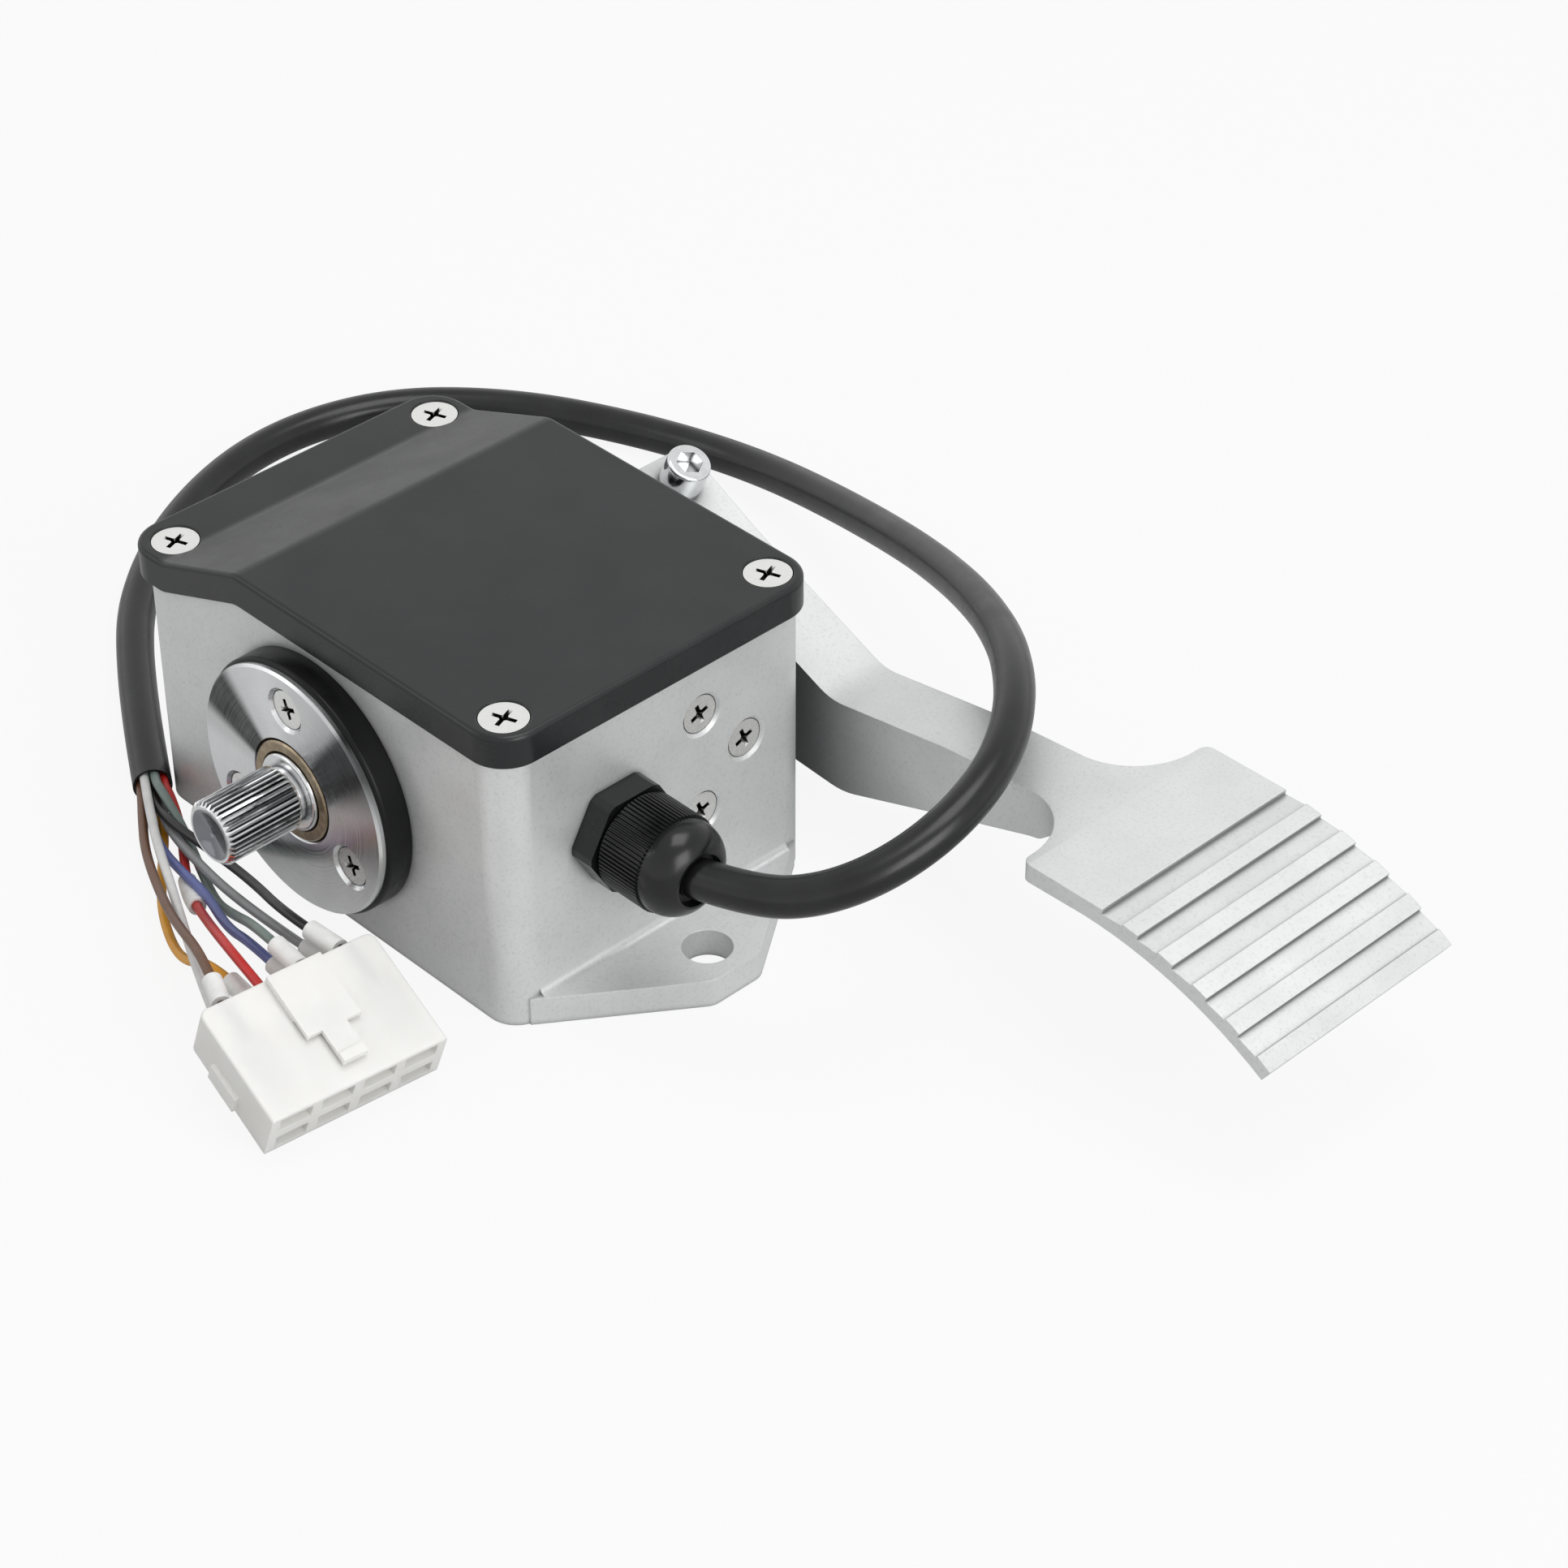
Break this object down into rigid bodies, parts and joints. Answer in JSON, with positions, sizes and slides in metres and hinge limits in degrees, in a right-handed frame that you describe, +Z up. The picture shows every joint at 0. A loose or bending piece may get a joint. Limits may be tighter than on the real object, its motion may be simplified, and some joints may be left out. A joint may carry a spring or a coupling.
{
  "type": "throttle foot pedal",
  "caption": "Throttle foot pedal: cast housing with a spring-returned cross shaft, a split-clamped arm with a ribbed pad, and a cable through a gland to a wired plug-in connector.",
  "frame": {"origin": "centre of the housing's flat base, straight under the shaft's axis", "axes": "+X from the housing towards the pedal pad, +Y along the shaft towards the pedal arm, +Z up"},
  "size_m": [0.381, 0.2637, 0.082],
  "materials": {
    "cast_aluminium": "satin",
    "cover_black": "satin",
    "seal_rubber": "matte",
    "zinc_steel": "satin",
    "polished_steel": "polished",
    "spacer_black": "satin",
    "bearing_bronze": "satin",
    "spring_steel": "satin",
    "lever_steel": "satin",
    "magnet_nickel": "polished",
    "sensor_plastic": "matte",
    "board_green": "satin",
    "gland_nylon": "satin",
    "cable_sheath": "satin",
    "connector_nylon": "translucent satin",
    "tinned_contact": "satin",
    "marker_sleeve": "matte",
    "wire_red": "satin",
    "wire_green": "satin",
    "wire_white": "satin",
    "wire_brown": "satin",
    "wire_blue": "satin",
    "wire_yellow": "satin",
    "wire_grey": "satin",
    "wire_black": "satin"
  },
  "bodies": {
    "base": {"board_screws": "zinc_steel", "bracket_screws": "zinc_steel", "cable": "cable_sheath", "cable_inside": "cable_sheath", "cable_sheath_end": "cable_sheath", "connector_housing": "connector_nylon", "connector_terminals": "tinned_contact", "cover": "cover_black", "cover_gasket": "seal_rubber", "cover_screws": "zinc_steel", "full_travel_bumper": "seal_rubber", "gland_body": "gland_nylon", "gland_locknut": "gland_nylon", "gland_nut": "gland_nylon", "gland_seal": "seal_rubber", "housing": "cast_aluminium", "left_bush": "bearing_bronze", "left_flange_plate": "polished_steel", "left_flange_ring": "spacer_black", "left_flange_screws": "zinc_steel", "left_return_spring": "spring_steel", "rest_bumper": "seal_rubber", "right_bush": "bearing_bronze", "right_flange_plate": "polished_steel", "right_flange_ring": "spacer_black", "right_flange_screws": "zinc_steel", "right_return_spring": "spring_steel", "sensor_board": "board_green", "sensor_bracket": "lever_steel", "sensor_lead": "cable_sheath", "sensor_module": "sensor_plastic", "sleeve_black": "marker_sleeve", "sleeve_blue": "marker_sleeve", "sleeve_brown": "marker_sleeve", "sleeve_green": "marker_sleeve", "sleeve_grey": "marker_sleeve", "sleeve_yellow": "marker_sleeve", "wire_black": "wire_black", "wire_blue": "wire_blue", "wire_brown": "wire_brown", "wire_green": "wire_green", "wire_grey": "wire_grey", "wire_red": "wire_red", "wire_white": "wire_white", "wire_yellow": "wire_yellow"},
    "pedal": {"shaft": "polished_steel", "shaft_circlips": "spring_steel", "stop_lever": "lever_steel", "lever_set_screws": "spring_steel", "lever_magnet": "magnet_nickel", "pedal_arm": "cast_aluminium", "clamp_screw": "polished_steel", "spring_washer": "spring_steel"}
  },
  "joints": [
    {"name": "pedal_hinge", "type": "hinge", "parent": "base", "child": "pedal", "pos_m": [0, 0, 0.0381], "axis": [0, 1, 0], "range_deg": [0, 15], "stiffness_Nm_per_rad": 4, "springref_deg": -28.65, "deforming": ["left_return_spring", "right_return_spring"]}
  ]
}
